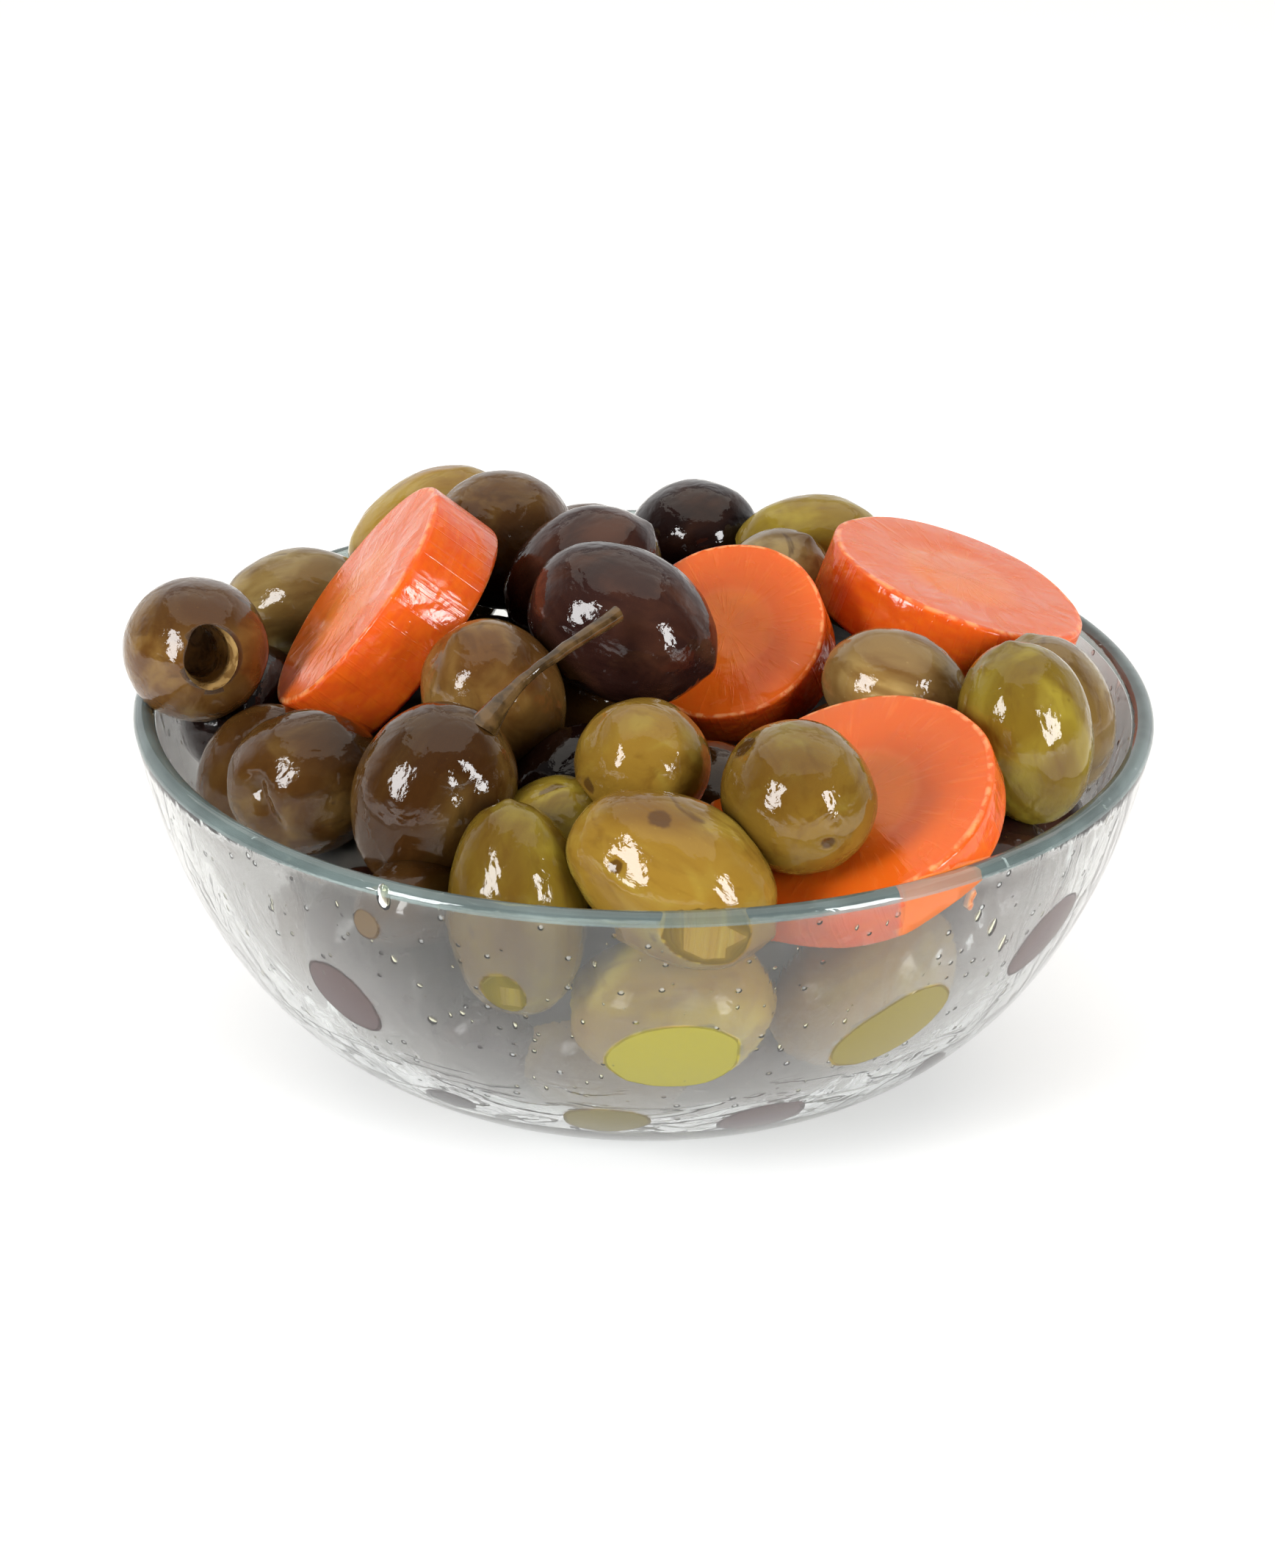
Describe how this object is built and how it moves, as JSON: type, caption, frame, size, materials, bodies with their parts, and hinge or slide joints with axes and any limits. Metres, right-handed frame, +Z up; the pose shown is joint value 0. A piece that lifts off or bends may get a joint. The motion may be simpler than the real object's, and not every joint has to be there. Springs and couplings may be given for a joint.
{
  "type": "bowl of olives",
  "caption": "Clear glass bowl heaped with whole olives, green, brown and black, one of them pitted and one with its stalk, among thick carrot slices.",
  "frame": {"origin": "middle of the bowl's flat foot", "axes": "+Z up, -Y towards the side that is looked at, +X to its right"},
  "size_m": [0.1412, 0.14, 0.0804],
  "materials": {
    "clear_glass": "clear glass with an oily film inside",
    "olive_skin": "glossy oiled olive skin, green to black",
    "carrot_flesh": "wet cut carrot"
  },
  "bodies": {
    "root": {"bowl": "clear_glass", "olive_heap": "olive_skin", "carrot_slice_left": "carrot_flesh", "carrot_slice_middle": "carrot_flesh", "carrot_slice_right": "carrot_flesh", "carrot_slice_front": "carrot_flesh"}
  },
  "joints": []
}
